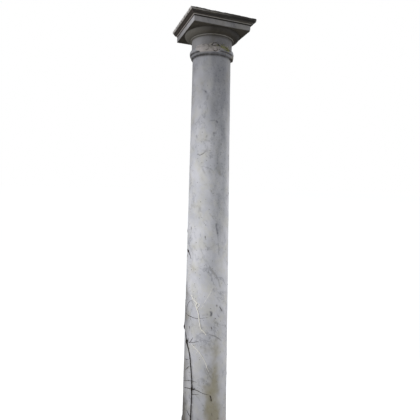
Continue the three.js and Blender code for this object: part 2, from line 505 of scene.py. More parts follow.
def crown_arris(p):
    """Weight along the crown's edges and the corners of the abacus, in patches."""
    reach = max(abs(p.x), abs(p.y))
    edge = ridge(p.z, CROWN_TOP, 4.0) + 0.7 * ridge(p.z, OGEE_TOP, 2.5)
    edge = edge * ease(reach, 183, 191) + 0.6 * to_corner(p) * ease(reach, 150, 164)
    return edge * (0.45 + 0.55 * ease(noise.noise(p / 26.0), -0.2, 0.45))


def sides_only(p):
    """Weight on the moulded sides, none on the soffit's middle and the top bed."""
    return ease(max(abs(p.x), abs(p.y)), 160, 164) * (1 - ease(p.z, CROWN_TOP - 2, CROWN_TOP - 0.2))


crown_group = weigh(capital, "crown", crown_arris)
side_group = weigh(capital, "sides", sides_only)
roughen(capital, "crown_wear", 12, -6, 0.2, vertex_group=crown_group)
roughen(capital, "side_waves", 45, 0.8, vertex_group=side_group)

# %% Echinus and neck
NECK_FOOT, NECK_TOP, ANNULET_FOOT, ANNULET_TOP = 2414.6, 2462.6, 2469.6, 2476.6
NECK_RADIUS, ANNULET_RADIUS, ECHINUS_REACH = 116.0, 124.5, 33.5
echinus_rise = SOFFIT - ANNULET_TOP - 0.2
echinus_profile = [(NECK_RADIUS - 0.8, NECK_FOOT), (NECK_RADIUS, NECK_FOOT + 0.8)]
echinus_profile += [(NECK_RADIUS, NECK_FOOT + 0.8 + 5.2 * i) for i in range(1, 10)]
echinus_profile += curl(NECK_RADIUS + 4.0, NECK_TOP, -4.0, ANNULET_FOOT - NECK_TOP, 0, 90, 4)
echinus_profile += [(ANNULET_RADIUS - 0.9, ANNULET_FOOT + 0.1), (ANNULET_RADIUS, ANNULET_FOOT + 1.2)]
echinus_profile += [(ANNULET_RADIUS, ANNULET_TOP - 1.2), (ANNULET_RADIUS - 0.8, ANNULET_TOP)]
echinus_profile += curl(ANNULET_RADIUS - 0.5, SOFFIT, ECHINUS_REACH + 0.5, echinus_rise, -88, 0, 14)
echinus_profile += [(ANNULET_RADIUS + ECHINUS_REACH, SOFFIT + 3.0)]
echinus = raise_block("echinus_block", echinus_profile, 208)


def echinus_skin(p):
    """Weight on the round skin between the bed and the soffit."""
    return ease(p.z, NECK_FOOT + 0.5, NECK_FOOT + 8) * (1 - ease(p.z, SOFFIT - 6, SOFFIT - 1))


round_group = weigh(echinus, "skin", echinus_skin)
roughen(echinus, "neck_waves", 60, 1.6, vertex_group=round_group)
roughen(echinus, "neck_pits", 12, 0.8, vertex_group=round_group)
combine(capital, echinus, "UNION")

# %% Broken corners and chips of the capital
DIAGONAL = 1.414  # of a square whose sides are 1
BREAK_LEVEL = CROWN_TOP - 10.0  # mm, where a corner's cut is measured
# side in x and y, leg of the cut in mm, lean in degrees: the left corner is broken off, the others less
for side_x, side_y, leg, lean in [(-1, 1, 30, 9), (1, -1, 15, 20), (1, 1, 9, 12), (-1, -1, 3, 12)]:
    across = Vector((side_x, side_y, math.tan(math.radians(-lean)) * DIAGONAL))
    on_plane = Vector((side_x * (CROWN_HALF - leg), side_y * CROWN_HALF, BREAK_LEVEL)) * MM
    take(capital)
    bpy.ops.object.mode_set(mode="EDIT")
    bpy.ops.mesh.select_all(action="SELECT")
    bpy.ops.mesh.bisect(plane_co=on_plane, plane_no=across, use_fill=True, clear_outer=True)
    bpy.ops.object.mode_set(mode="OBJECT")
# x, y, z and size of each lump in mm: first the corners, then the edges
crown_chips = [
    (-182, 188, 2568, 13), (-189, 181, 2563, 11), (-177, 193, 2552, 11), (-193, 176, 2549, 11),
    (-186, 184, 2546, 9), (197, -197, 2569, 9), (199, 199, 2566, 12), (-197, -198, 2570, 8),
    (-192, 60, 2567, 7), (-195, -42, 2566, 6), (-193, 118, 2546, 6), (-60, -194, 2567, 7),
    (22, -195, 2565, 6), (104, -194, 2567, 8), (150, -193, 2546, 5), (-128, -193, 2566, 6),
    (194, -90, 2566, 8), (195, 35, 2567, 7), (193, 120, 2546, 6), (40, 195, 2566, 9), (-90, 194, 2567, 7),
    (166, -166, 2504, 6), (-166, -167, 2502, 5), (167, 60, 2501, 6), (-40, 167, 2501, 7),
]
chip_away(capital, "crown_breaks", crown_chips, 41)
close_up(capital)
settle(capital, 38)

# %% [markdown]
# ## The base
# It lies below the picture, so it follows the usual order: a square plinth and one torus, rounded by feet
# and rain. The plinth is a raised grid and the torus a raised circle, joined in one stone.

# %% Plinth
PLINTH_HALF, PLINTH_TOP, BASE_TOP = 188.0, 68.0, 124.0
plinth_profile = [(PLINTH_HALF - 1.5, 0), (PLINTH_HALF, 1.5)]
plinth_profile += [(PLINTH_HALF, 1.5 + 7.0 * i) for i in range(1, 9)]
plinth_profile += [(PLINTH_HALF, 63.0), (PLINTH_HALF, 66.2), (PLINTH_HALF - 1.8, PLINTH_TOP)]
base = raise_block("base_stone", plinth_profile, 84, square=True)


def plinth_wear(p):
    """Weight on the plinth's arrises, in patches."""
    reach = max(abs(p.x), abs(p.y))
    edge = ridge(p.z, PLINTH_TOP, 4.0) * ease(reach, 182, 187)
    edge += 0.9 * to_corner(p) * ease(reach, 180, 187) * ease(p.z, 2, 10)
    return edge * (0.3 + 0.7 * ease(noise.noise(p / 30.0), -0.2, 0.4))


plinth_group = weigh(base, "wear", plinth_wear)
roughen(base, "plinth_wear", 14, -6, 0.2, vertex_group=plinth_group)

# %% Torus
TORUS_CENTRE, TORUS_HEIGHT, TORUS_RADIUS = 158.0, 96, 28.0
torus_profile = [(TORUS_CENTRE, PLINTH_TOP - 4)]
torus_profile += curl(TORUS_CENTRE, TORUS_HEIGHT, TORUS_RADIUS, TORUS_RADIUS, -89, 87, 30)
torus_profile += [(TORUS_CENTRE, BASE_TOP)]
torus = raise_block("torus_block", torus_profile, 224)
torus_group = weigh(torus, "round", lambda p: ease(math.hypot(p.x, p.y), 160, 176))
roughen(torus, "torus_waves", 50, 2.4, 0.55, vertex_group=torus_group)
roughen(torus, "torus_pits", 12, 1.0, 0.55, vertex_group=torus_group)
combine(base, torus, "UNION")
# x, y, z and size of each lump in mm
plinth_chips = [
    (190, -191, 70, 16), (-189, -190, 69, 9), (192, 190, 68, 12), (-191, 192, 71, 18), (-192, 20, 71, 11),
    (60, -192, 72, 12), (-110, -191, 71, 8), (192, -60, 72, 10), (130, 192, 72, 12), (-189, -120, 3, 7),
    (-70, -188, 2, 8), (188, 90, 3, 9), (20, 191, 2, 8),
]
chip_away(base, "plinth_breaks", plinth_chips, 17)
close_up(base)
settle(base, 38)

# %% [markdown]
# ## What grows and clings: places on the shaft
# The climber, its rootlets and the lichens are set by their height above the ground and their bearing
# round the axis, 0 at the front and negative to the left. One function turns that into a point on the
# stone, and another draws a smooth tapering strand through a list of such places.

# %% Helpers for things on the shaft


def around(radius, bearing, height):
    """A point in metres from a radius and a height in mm and a bearing in degrees, 0 at the front."""
    angle = math.radians(bearing)
    return Vector((math.sin(angle) * radius, -math.cos(angle) * radius, height)) * MM


def on_shaft(height, bearing, lift=0.0):
    """A point on the shaft's skin, or lift mm above it, from a height in mm and a bearing in degrees."""
    return around(radius_at(height) + lift, bearing, height)


DEGREE_WIDTH = 2.2  # mm that one degree of bearing takes up on the shaft


def smooth_route(places, step):
    """Places filled in along a smooth line, about one every step mm."""
    filled = []
    for i in range(len(places) - 1):
        a, b = places[max(i - 1, 0)], places[i]
        c, d = places[i + 1], places[min(i + 2, len(places) - 1)]
        length = math.hypot(c[0] - b[0], (c[1] - b[1]) * DEGREE_WIDTH)
        count = max(2, int(length / step))
        for k in range(count):
            t = k / count
            filled.append([
                0.5 * (2 * q + (r - p) * t + (2 * p - 5 * q + 4 * r - s) * t * t
                       + (3 * q - p - 3 * r + s) * t ** 3)
                for p, q, r, s in zip(a, b, c, d)
            ])
    filled.append(list(places[-1]))
    return filled


def strands(name, routes, step, sides, wobble, seed):
    """A mesh of tapering strands, each route a list of (height, bearing, radius, lift) in mm and degrees."""
    deselect()
    bpy.ops.curve.primitive_nurbs_path_add()
    piece = bpy.context.object
    piece.name = name
    curve = piece.data
    curve.splines.clear()
    draw = random.Random(seed)
    for route in routes:
        points = smooth_route(route, step)
        spline = curve.splines.new("POLY")
        spline.points.add(len(points) - 1)
        for place, (height, bearing, radius, lift) in zip(spline.points, points):
            height += draw.uniform(-wobble, wobble)
            bearing += draw.uniform(-wobble, wobble) * 0.4
            place.co = (*on_shaft(height, bearing, lift), 1.0)
            place.radius = radius * draw.uniform(0.85, 1.15)
    curve.dimensions = "3D"
    curve.bevel_depth = MM
    curve.bevel_resolution = sides
    curve.use_fill_caps = True
    bpy.ops.object.convert(target="MESH")
    piece = bpy.context.object
    piece.name = name
    close_up(piece)
    return piece


# %% [markdown]
# ### The dead climber
# A dry woody stem about 7 mm thick climbs from the lower front left to the left edge, with a knot where a
# side shoot broke off. It is a strand whose thickness changes along its way, with furrowed bark pushed
# into it.

# %% Climber
STEM_LIFT = 3.3  # mm from the stone to the middle of the stem
# height in mm, bearing in degrees and radius in mm
stem_places = [
    (212.3, -57.6, 2.6), (250, -57.0, 2.7), (289.3, -56.6, 2.5), (330, -56.2, 2.6), (376.3, -55.6, 2.4),
    (420, -55.2, 2.6), (450, -55.2, 4.0), (462, -55.2, 5.7), (476.3, -55.1, 2.7), (520, -56.8, 2.4),
    (569.3, -59.1, 2.4), (605, -61.6, 2.4), (629.3, -62.8, 2.5), (667.3, -67.3, 2.4), (698.3, -73.8, 2.7),
    (716, -77.8, 5.7), (726, -79.3, 5.4), (738.3, -81.8, 1.9), (755, -84.3, 1.4), (769.3, -86.8, 0.9),
]
stem_route = [(height, bearing, radius, STEM_LIFT) for height, bearing, radius in stem_places]
knot_twig = [(458, -53.0, 2.6, 3.6), (460, -50.0, 2.0, 4.5), (465, -47.6, 1.5, 5.5), (471, -46.4, 0.9, 7.5)]
knot_stub = [(722, -77.0, 2.6, 3.4), (731, -74.0, 2.0, 3.6), (741, -72.5, 1.4, 4.4), (750, -72.0, 0.8, 5.0)]
climber = strands("climber_wood", [stem_route, knot_twig, knot_stub], 2.5, 4, 0.25, 7)
roughen(climber, "bark_furrows", 5, 1.1)
roughen(climber, "bark_lumps", 22, 1.2)
settle(climber, 60)

# %% [markdown]
# ### Tendrils and rootlets
# Thin dark tendrils cross the stone, and pale dried rootlets wander down it where the climber once held
# on. They are the same strands, a millimetre or two thick, half sunk in the stone's skin.

# %% Tendrils and rootlets
# height in mm, bearing in degrees, radius and lift in mm
tendril_routes = [
    [(752, -84, 0.9, 1.2), (766, -93, 0.9, 0.9), (776, -100, 1.0, 1.0), (784, -104.5, 3.8, 3.0),
     (796, -105.5, 4.4, 3.4), (805, -105.5, 2.2, 2.2), (842, -106, 1.1, 1.1), (900, -106, 0.9, 0.9),
     (958, -105, 0.7, 0.6)],
    [(140, -104, 2.6, 1.4), (195, -106, 2.8, 1.7), (222, -107, 2.6, 1.5), (232, -107, 1.4, 0.7)],
    [(429, -8, 1.6, 0.4), (420, -5.5, 3.2, 0.8), (411, -4.6, 2.2, 0.5), (401, -4, 3.0, 0.8),
     (393, -3.4, 1.2, 0.2)],
    [(884, -89, 0.8, 0.5), (881, -78, 1.3, 0.7), (880, -66, 1.5, 0.7), (879, -54, 1.2, 0.6),
     (879, -44, 1.0, 0.4), (885, -30, 0.7, 0.2), (890, -16, 0.5, 0.0)],
    [(898, -89, 0.6, 0.2), (925, -85, 0.8, 0.2), (953, -78, 0.9, 0.2), (972, -68, 0.8, 0.2),
     (984, -58, 0.5, 0.0)],
    [(434, -86, 1.2, 0.8), (447, -72, 1.6, 0.8), (453, -61, 1.8, 0.9), (457, -44, 1.6, 0.8),
     (453, -37, 1.5, 0.7), (444, -26, 1.2, 0.5), (437, -16, 0.9, 0.3), (433, -10, 0.6, 0.0)],
    [(424, -54, 1.2, 0.6), (429, -46, 1.0, 0.5), (433, -36, 0.6, 0.1)],
    [(724, -73, 1.2, 1.0), (735, -53, 1.1, 0.8), (741, -46, 0.9, 0.6), (747, -40, 0.5, 0.2)],
    [(724, -67, 1.2, 0.9), (744, -61, 1.1, 1.2), (762, -56, 0.7, 0.8)],
    [(1264, -92, 2.4, 1.8), (1260, -86, 4.8, 2.2), (1250, -81, 2.8, 1.3), (1238, -76, 1.4, 0.6),
     (1217, -71, 0.9, 0.2)],
    [(620, -70, 1.0, 1.0), (615, -77, 1.3, 1.2), (608, -88, 0.6, 0.6)],
    [(581, -67, 1.0, 1.0), (568, -74, 1.4, 1.3), (553, -80, 1.0, 0.8), (538, -88, 0.5, 0.3)],
    [(464, -98, 0.8, 0.6), (490, -74, 1.0, 0.7), (504, -56, 0.9, 0.5), (503, -42, 0.5, 0.1)],
    [(284, -57, 1.0, 1.0), (294, -63, 1.6, 1.2), (306, -69, 1.2, 0.8), (307, -77, 0.6, 0.3)],
]
tendrils = strands("climber_tendrils", tendril_routes, 3.0, 2, 0.5, 11)
settle(tendrils, 60)

rootlet_routes = [
    [(1010, -67, 1.6, 1.1), (1000, -62, 2.2, 1.4), (985, -56.6, 2.9, 1.7), (969, -46, 3.1, 1.9),
     (956, -49, 3.0, 1.8), (934, -46, 3.6, 2.1), (920, -43, 2.6, 1.6), (907, -41, 3.4, 2.0),
     (890, -40, 2.6, 1.6), (875, -39, 3.4, 2.0), (858, -37.6, 2.5, 1.5), (844, -36.3, 3.2, 1.9),
     (821, -34, 2.7, 1.6), (810, -28, 2.9, 1.8), (798, -23.8, 2.0, 1.2), (788, -20, 1.7, 1.0)],
    [(969, -46, 2.3, 1.5), (966, -41, 2.2, 1.5), (959, -39, 2.2, 1.5), (945, -43, 2.2, 1.5),
     (932, -45, 1.9, 1.3)],
    [(722, -60, 0.9, 0.9), (716, -58, 1.6, 1.3), (695, -42, 1.9, 1.5), (669, -32, 1.9, 1.5),
     (641, -24, 1.7, 1.4), (615, -19, 1.6, 1.3), (594, -16, 1.4, 1.2), (570, -11, 0.9, 0.8)],
    [(1067, -5, 0.4, 0.0), (1040, -10, 0.8, 0.0), (1015, -16, 0.9, 0.0), (980, -25, 0.9, 0.0),
     (950, -32, 0.6, 0.0), (938, -36, 0.4, 0.0)],
    [(690, -40, 0.8, 0.9), (680, -44, 0.7, 0.8), (668, -46, 0.4, 0.5)],
]
rootlets = strands("dried_rootlets", rootlet_routes, 3.0, 2, 0.6, 23)
settle(rootlets, 60)

# %% [markdown]
# ### Lichen marks
# Black crusty lichens sit on the marble as commas and dots. Each is a short strand pressed almost flat
# into the stone, wide and thin, so its edge catches the light.

# %% Lichen marks
# height in mm, bearing in degrees, radius and lift in mm
mark_routes = [
    [(962, 6.0, 1.2, 0.0), (955, 7.4, 2.4, 0.1), (947, 7.8, 1.0, 0.0)],
    [(946, 15.5, 1.0, 0.0), (938, 18, 2.2, 0.1), (926, 22, 1.8, 0.1), (914, 26, 0.9, 0.0)],
    [(884, 2.6, 1.4, 0.0), (879, 4.0, 2.0, 0.1)],
    [(858, 2.6, 1.2, 0.0), (853, 4.2, 2.0, 0.1)],
    [(836, -8, 1.0, 0.0), (828, -6.6, 1.8, 0.1), (819, -5.8, 1.0, 0.0)],
    [(792, -13, 0.5, 0.0), (786, -6, 0.9, 0.1), (779, 2, 1.0, 0.1), (762, 13, 0.8, 0.1),
     (738, 25, 0.5, 0.0)],
    [(572, -72.4, 2.2, 0.2), (566, -71.2, 2.4, 0.2)],
    [(500, -67.8, 2.2, 0.2), (495, -66.6, 2.4, 0.2)],
    [(1819, -57, 0.5, 0.0), (1814, -48, 1.0, 0.1), (1820, -41, 1.1, 0.1), (1830, -34, 0.6, 0.0)],
]
draw = random.Random(5)
for _ in range(46):
    height, bearing = draw.uniform(260, 1900), draw.uniform(-180, 180)
    reach, width = draw.uniform(3, 11), draw.uniform(0.9, 2.2)
    lean = draw.uniform(-3, 3)
    mark_routes.append([
        (height + reach, bearing, width * 0.5, 0.0),
        (height, bearing + lean * 0.6, width, 0.1),
        (height - reach, bearing + lean, width * 0.4, 0.0),
    ])
marks = strands("lichen_marks", mark_routes, 2.5, 1, 0.5, 31)
settle(marks, 60)

# %% [markdown]
# ### Lime crust under the capital
# Lime washed out of the joint has hardened over the bead and the neck's foot, from the left to past the
# front, and a lump of it fills the hollow under the bead at the far right. A crack and several seams cross
# it, and painted shadow darkens it along its lower edge right of the front and along the lump's foot. It
# is a grid wrapped round the stone, raised where the crust is thick and sunk into the stone at its ragged
# rim, then given a thickness.

# %% Seams and painted shadow lines of the lime crust
# height in mm and bearing in degrees
crack_line = [
    (2425.5, -5.0), (2415.0, -2.6), (2409.0, 0.5), (2404.5, 6.0), (2406.0, 14.0), (2401.0, 24.0),
    (2397.0, 33.0),
]
arch_line = [
    (2413.0, -21.0), (2419.0, -19.5), (2425.5, -17.0), (2428.5, -11.3), (2425.5, -5.5), (2415.5, -2.5),
]
loop_line = [(2409.5, -18.5), (2408.0, -12.8), (2416.0, -7.0)]
rosette_line = [
    (2418.0, -46.0), (2424.0, -40.0), (2418.5, -31.0), (2406.0, -27.4), (2391.0, -29.5), (2386.0, -35.0),
]
small_line = [(2385.0, -16.8), (2380.5, -12.4), (2385.0, -7.0), (2394.0, -8.0)]
# the line along the lump's foot and the shadow line under the crust's lower edge are painted shadow
lump_shadow_line = [(2366.0, 48.0), (2364.0, 60.0), (2366.0, 74.0)]
shadow_line = [(2389.0, -1.0), (2389.5, 9.0), (2391.0, 19.5), (2390.0, 28.0), (2387.5, 33.0)]
# each line with its width in mm and its darkness
seam_and_shadow_lines = [
    (crack_line, 6.5, 1.0), (arch_line, 4.6, 1.0), (loop_line, 3.6, 0.8), (rosette_line, 3.6, 0.5),
    (small_line, 3.6, 0.7), (shadow_line, 8.0, 0.95), (lump_shadow_line, 8.0, 0.9),
]


def line_gap(height, bearing, line, radius):
    """Distance in mm from a place to a line of places."""
    best = 1e9
    along = math.radians(bearing) * radius
    for (h0, b0), (h1, b1) in zip(line, line[1:]):
        x0, x1 = math.radians(b0) * radius, math.radians(b1) * radius
        dx, dh = x1 - x0, h1 - h0
        t = min(max(((along - x0) * dx + (height - h0) * dh) / (dx * dx + dh * dh), 0.0), 1.0)
        best = min(best, math.hypot(along - x0 - t * dx, height - h0 - t * dh))
    return best


def ripple(bearing, height, scale, layer):
    """A smooth noise over the crust."""
    return noise.noise(Vector((bearing * scale, height * scale / 2, layer)))


def seam_and_shadow_value(height, bearing):
    """How dark the seams and the painted shadow lines are at a place."""
    seam_and_shadow = 0.0
    for line, width, depth in seam_and_shadow_lines:
        seam_and_shadow = max(seam_and_shadow, depth * (1 - ease(line_gap(height, bearing, line, 123), width * 0.3, width)))
    return min(seam_and_shadow * (0.75 + 0.7 * ripple(bearing, height, 0.5, 9.0)) * 1.3, 1.0)


print(len(seam_and_shadow_lines), "seam_and_shadow_layer")


# %% Lime crust
CRUST_LOW, CRUST_HIGH = 2358.0, 2436.0  # mm
CRUST_LEFT, CRUST_RIGHT = -80.0, 84.0  # degrees
BRIDGE_RADIUS, BRIDGE_BEND, LUMP_RADIUS = 126.2, 2398, 123.0  # mm
LUMP_LEFT = 42  # degrees


def crust_cover(height, bearing):
    """How fully the crust covers the stone: it reaches lowest at the far left and left of the front."""
    ragged = ripple(bearing, height, 0.16, 3.0)
    sides = ease(bearing + 9 * ragged, -74, -60) * (1 - ease(bearing + 5 * ragged, 33, 40))
    foot = 2379.0 + 13.0 * ease(bearing, -7, 2) + 9.0 * (1 - ease(bearing, -62, -48))
    front = sides * ease(height, foot, foot + 3.5) * (1 - ease(height + 7 * ragged, 2418, 2430))
    lump = ease(bearing, 44, 52) * (1 - ease(bearing, 72, 80))
    lump *= ease(height, 2361, 2367) * (1 - ease(height, 2384, 2392))
    gap = min(line_gap(height, bearing, line, 122) for line in (arch_line, crack_line))
    return max(front, lump, 0.9 - 0.9 * ease(gap, 4, 8))


def crust_radius(height, bearing):
    """Radius of the crust's face in mm: it bridges the hollows over and under the bead, and is lumpy."""
    stone = radius_at(height)
    bridge = BRIDGE_RADIUS - max(height - BRIDGE_BEND, 0) * 0.34
    if bearing > LUMP_LEFT:
        bridge = LUMP_RADIUS
    cover = crust_cover(height, bearing)
    thick = 1.3 + 1.5 * ripple(bearing, height, 0.14, 1.7) + 0.8 * ripple(bearing, height, 0.45, 5.1)
    crack = ridge(line_gap(height, bearing, crack_line, 124), 0, 1.8)
    arch = ridge(line_gap(height, bearing, arch_line, 122), 0, 1.3)
    return stone + (max(bridge - stone, 0) + thick) * cover - 2.0 * (1 - cover) - 4.5 * crack - 1.5 * arch


deselect()
bpy.ops.mesh.primitive_grid_add(x_subdivisions=200, y_subdivisions=62, size=1.0)
crust = bpy.context.object
crust.name = "lime_crust"
seam_and_shadow_values = []
for vertex in crust.data.vertices:
    bearing = CRUST_LEFT + (CRUST_RIGHT - CRUST_LEFT) * (vertex.co.x + 0.5)
    height = CRUST_LOW + (CRUST_HIGH - CRUST_LOW) * (vertex.co.y + 0.5)
    vertex.co = around(crust_radius(height, bearing), bearing, height)
    seam_and_shadow_values.append(seam_and_shadow_value(height, bearing))
seam_and_shadow_layer = crust.data.attributes.new("seam_and_shadow", "FLOAT", "POINT")
seam_and_shadow_layer.data.foreach_set("value", seam_and_shadow_values)
modify(crust, "SOLIDIFY", thickness=3 * MM, offset=-1)
close_up(crust)
settle(crust, 70)

# %% [markdown]
# ### Moss
# Yellow-green cushions of moss grow along the crack right of the front, with a few around it and some
# under the bead at the far right. One small sphere is copied with its own mesh over the damp places and
# flattened, and the cushions are merged by a remesh, as moss grows together.

# %% Places of the moss
draw = random.Random(8)
moss_line = [(2413.0, 4.0), (2408.0, 11.0), (2403.5, 19.0), (2399.0, 27.0)]
moss_places = []
for _ in range(96):
    along = draw.uniform(0, len(moss_line) - 1.001)
    (h0, b0), (h1, b1) = moss_line[int(along)], moss_line[int(along) + 1]
    part = along - int(along)
    height = h0 + (h1 - h0) * part - 1.0 + draw.gauss(0, 7.0)
    bearing = b0 + (b1 - b0) * part + draw.gauss(0, 2.2)
    moss_places.append((height, bearing, draw.uniform(1.3, 3.0)))
# how many, between which heights in mm and bearings in degrees, and of which size in mm
for many, heights, bearings, sizes in [
    (26, (2396, 2430), (-20, 34), (1.0, 1.9)), (12, (2408, 2420), (-9, -2), (1.0, 1.9)),
    (12, (2366, 2384), (48, 76), (1.4, 2.8)),
]:
    for _ in range(many):
        moss_places.append((draw.uniform(*heights), draw.uniform(*bearings), draw.uniform(*sizes)))
print("moss in", len(moss_places), "places")

# %% Moss cushions
deselect()
bpy.ops.mesh.primitive_ico_sphere_add(subdivisions=2, radius=1.0)
cushion = bpy.context.object
cushions = []
for height, bearing, size in moss_places:
    copy = cushion.copy()
    copy.data = cushion.data.copy()
    bpy.context.scene.collection.objects.link(copy)
    copy.location = around(max(crust_radius(height, bearing), radius_at(height)), bearing, height)
    copy.rotation_euler = (0, 0, math.radians(bearing))
    copy.scale = Vector((size * draw.uniform(0.9, 1.4), size * 0.75, size)) * MM
    cushions.append(copy)
bpy.data.objects.remove(cushion, do_unlink=True)
moss = join(cushions, "moss_cushions")
bpy.ops.object.transform_apply()
modify(moss, "REMESH", mode="VOXEL", voxel_size=0.8 * MM)
roughen(moss, "moss_tufts", 2.2, 1.4)
settle(moss, 80)

# %% [markdown]
# ## Weather and painted shade on the shaft
# Rain, soil and the climber left broad marks on the marble, and shade is painted on with them: a grey
# streak down the front that also darkens right of the middle as painted shade, painted shade under the
# capital, towards the foot and in a band from about 560 to 1040 mm, an olive-brown stain near the ground, a
# dark patch at the left with the stem's painted shadow beside the stem, and grime with painted shade in the
# hollows at the neck and over the cincture. The streak goes by bearing and height, the shade and the grime
# by height, and the other marks fade by their distance from a line of places; each is kept on the shaft's
# points as an attribute that its material reads.

# %% Places of the shaft's points
count = len(shaft.data.vertices)
points = np.empty(count * 3)
shaft.data.vertices.foreach_get("co", points)
points = points.reshape(-1, 3) / MM
heights = points[:, 2]
bearings = np.degrees(np.arctan2(points[:, 0], -points[:, 1]))


def field(size, seed, stretch=1.0):
    """A soft noise at every point of the shaft, about -0.5 to 0.5, with features of size mm."""
    shift = Vector((seed * 7.1, seed * 3.3, seed * 1.7))
    scaled = points / (size, size, size * stretch)
    return np.array([noise.noise(Vector(point) + shift) for point in scaled])


def smooth(values, low, high):
    """The same smooth step as ease, for all points at once."""
    t = np.clip((values - low) / (high - low), 0, 1)
    return t * t * (3 - 2 * t)


def between(rise, full, fall, gone):
    """1 between the heights full and fall, fading to 0 below at rise and above at gone."""
    return smooth(heights, rise, full) * (1 - smooth(heights, fall, gone))


def near_line(line, reach):
    """1 on a line of (height, bearing) places, fading to 0 at reach mm from it."""
    gap = np.full(count, 1e9)
    for (h0, b0), (h1, b1) in zip(line, line[1:]):
        radius = taper((h0 + h1) / 2)
        x0, x1 = math.radians(b0) * radius, math.radians(b1) * radius
        along = np.radians(bearings) * radius
        dx, dh = x1 - x0, h1 - h0
        t = np.clip(((along - x0) * dx + (heights - h0) * dh) / (dx * dx + dh * dh), 0, 1)
        gap = np.minimum(gap, np.hypot(along - x0 - t * dx, heights - h0 - t * dh))
    return 1 - smooth(gap, 0, reach)


broad, middle, small = field(150, 1, 2.0), field(48, 2, 1.6), field(17, 3)
drift = field(26, 4, 4.0)
print("broad noise from", round(broad.min(), 2), "to", round(broad.max(), 2))

# %% Streak down the front and painted shade
# the grey streak down the front is partly a weather mark and partly painted shade right of the middle
top_share = smooth(heights, 1800, 2300)
across = bearings + 12.0 * broad + 8.0 * middle + 5.0 * drift - 6.0 * smooth(heights, 1150, 1500)
streak_and_shade = smooth(across, -44 - 16 * top_share, 8 + 10 * top_share) * (1 - smooth(across, 14, 46))
streak_and_shade *= smooth(heights, 1060, 1450) * (0.66 + 0.34 * smooth(heights, 1500, 2200)) * (0.92 + 0.7 * drift)
# painted shade: darker under the capital, towards the foot, and in a band between about 560 and 1040 mm
shade = 0.6 * smooth(heights, 1650, 2420) ** 1.15 + 0.3 * (1 - smooth(heights, 250, 900))
shade = (shade + 0.13 * between(560, 820, 880, 1040)) * (1 + 0.25 * middle)
print("streak and shade, mean", round(streak_and_shade.mean(), 3), round(shade.mean(), 3))

# %% Veins and spots
# strength, reach in mm and line of each dark vein
vein_table = [
    (0.8, 7, [(1180, -14), (1146, -2), (1126, 5), (1100, 12), (1060, 17)]),
    (0.5, 6, [(1842, -42), (1836, -31)]), (0.5, 7, [(1742, -4), (1700, 17)]),
    (0.4, 7, [(1742, -42), (1700, -29)]), (0.4, 7, [(1724, -21), (1706, -14)]),
    (0.45, 6, [(792, -13), (779, 2), (738, 25)]), (0.3, 14, [(900, -30), (905, -18), (900, -8)]),
]
# a smudge in the shape of a ring, open at one place
ring = []
for i in range(15):
    angle = math.radians(24 * i)
    ring.append((911 + 12 * math.sin(angle), -12.5 + 5.2 * math.cos(angle)))
# strength, reach in mm and line of each dark spot
spot_table = [
    (0.7, 6, [(2179, -47), (2164, -35)]), (0.7, 8, [(2166, -36), (2160, -34)]),
    (0.6, 4, [(2003, -24), (2008, -12), (2002, -2)]), (1.0, 8, [(2004, -4), (1999, -1)]),
    (1.0, 7, [(1937, -10), (1933, -9)]), (0.8, 9, [(1922, -62), (1915, -61)]),
    (0.7, 7, [(1920, -30), (1914, -31)]), (0.4, 7, [(1898, -34), (1890, -20)]),
    (0.7, 4, [(1819, -57), (1814, -48), (1820, -41), (1830, -34)]),
    (1.0, 8, [(1424, 1.5), (1400, 3), (1374, 6)]), (0.5, 5, [(1374, 6), (1330, 8), (1250, 11)]),
    (0.7, 6, [(1288, -20), (1282, -20)]), (0.6, 6, [(1461, -47), (1456, -46)]),
    (0.5, 13, [(528, -28), (505, -18), (492, -9)]), (0.5, 9, [(1052, -3), (1040, 0)]),
    (0.6, 7, [(948, 17), (938, 19), (914, 25)]), (0.45 + 1.3 * small, 8, ring),
    (0.4, 8, [(903, -9), (915, -7), (921, -9)]),
]
veins = sum(near_line(line, reach) * strength for strength, reach, line in vein_table)
veins *= 0.6 + 0.8 * smooth(small, -0.3, 0.3)
spots = sum(near_line(line, reach) * strength for strength, reach, line in spot_table)
spots *= 0.8 + 0.8 * small
print(len(vein_table), "veins and", len(spot_table), "spots")

# %% Grime with painted shade, earth, and a dark patch with the stem's painted shadow
# grime and painted shade lie in the hollow over the fillet under the bead, under the fillet, on its edge,
# and over the cincture
bare_front = 1 - smooth(bearings, -56, -48) * (1 - smooth(bearings, -4, 4))
grime_and_shade = between(2378.4, 2382, 2385, 2393) * bare_front
for fading, strength in [
    ((2355, 2366, 2369.8, 2371), 1.0), ((2369, 2371, 2378, 2379), 0.5), ((134, 137, 150, 175), 0.6),
]:
    grime_and_shade = np.maximum(grime_and_shade, between(*fading) * strength)
grime_and_shade *= 1.0 + 0.3 * small
earth = near_line([(740, 8), (650, 3), (590, -3), (420, 0), (285, 4), (200, 4), (130, 6)], 80)
earth *= 1 - smooth(heights, 300, 700) * 0.75
earth = smooth(earth + 0.35 * middle + 0.15 * small, 0.0, 0.95) * 0.9
earth = np.maximum(earth, (1 - smooth(heights + 60 * middle, 150, 330)) * 0.75)
patch = smooth(near_line([(360, -98), (300, -96), (180, -92)], 95) + 0.35 * middle + 0.2 * small, 0.15, 1.0)
patch = np.maximum(patch, near_line([(1010, -98), (740, -92), (380, -90)], 80) * (0.5 + 0.4 * middle))
# painted shadow of the climber's stem, along its line
stem_shadow = near_line([(130, -56), (380, -54), (480, -54), (620, -61), (700, -73), (730, -82)], 16) * 0.6
dark_patch_and_stem_shadow = np.maximum(patch, stem_shadow * (0.7 + small))
print("grime, earth and dirt, mean", round(grime_and_shade.mean(), 3), round(earth.mean(), 3), round(dark_patch_and_stem_shadow.mean(), 3))

